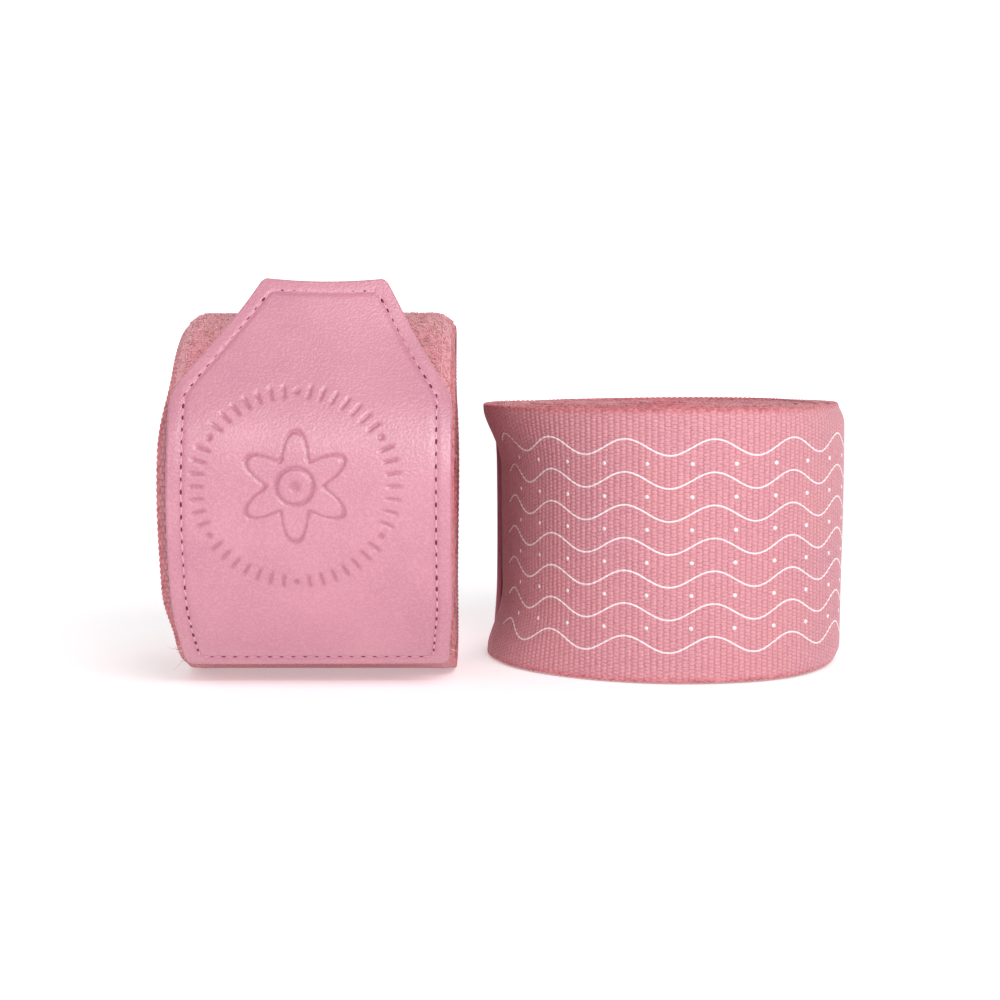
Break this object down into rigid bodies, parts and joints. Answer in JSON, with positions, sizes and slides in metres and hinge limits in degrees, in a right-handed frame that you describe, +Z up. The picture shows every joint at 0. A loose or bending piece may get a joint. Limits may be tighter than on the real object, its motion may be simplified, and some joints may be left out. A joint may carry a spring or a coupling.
{
  "type": "hand wrap pair",
  "caption": "Matched pair of rolled elastic hand wraps, each a long woven band with a thumb loop in its core and a stitched leather hook-and-loop closure flap.",
  "frame": {"origin": "on the ground under the middle of the pair", "axes": "+Z up, +X from the lying roll to the standing one, -Y the front, where the lying roll's closure faces"},
  "size_m": [0.1272, 0.0913, 0.0734],
  "materials": {
    "woven_band": "ribbed semi-elastic weave",
    "webbing": "narrow woven webbing",
    "loop_pile": "brushed loop pile",
    "hooks": "moulded hooks",
    "leather": "fine pebbled grain, soft sheen",
    "lining": "thin knitted backing",
    "thread": "polyester sewing thread"
  },
  "bodies": {
    "left_roll": {"left_band": "woven_band", "left_thumb_loop": "webbing", "left_thumb_loop_bartack": "thread", "left_band_end_hem": "woven_band", "left_pile_strip": "loop_pile", "left_pile_stitching": "thread", "left_closure_base": "leather", "left_base_stitching": "thread"},
    "left_flap": {"left_closure_flap": "leather", "left_flap_lining": "lining", "left_hook_strip": "hooks", "left_flap_stitching": "thread"},
    "right_roll": {"right_band": "woven_band", "right_thumb_loop": "webbing", "right_thumb_loop_bartack": "thread", "right_band_end_hem": "woven_band", "right_pile_strip": "loop_pile", "right_pile_stitching": "thread", "right_closure_base": "leather", "right_base_stitching": "thread"},
    "right_flap": {"right_closure_flap": "leather", "right_flap_lining": "lining", "right_hook_strip": "hooks", "right_flap_stitching": "thread"}
  },
  "joints": [
    {"name": "left_flap_peel", "type": "hinge", "parent": "left_roll", "child": "left_flap", "pos_m": [-0.0386, -0.04054, 0.01521], "axis": [1, 0, 0], "range_deg": [0, 110]},
    {"name": "right_roll_lift", "type": "slide", "parent": "left_roll", "child": "right_roll", "axis": [0, 0, 1], "range_m": [0, 0.08]},
    {"name": "right_flap_peel", "type": "hinge", "parent": "right_roll", "child": "right_flap", "pos_m": [0.00228, 0.03458, 0.025], "axis": [0, 0, 1], "range_deg": [0, 110]}
  ]
}
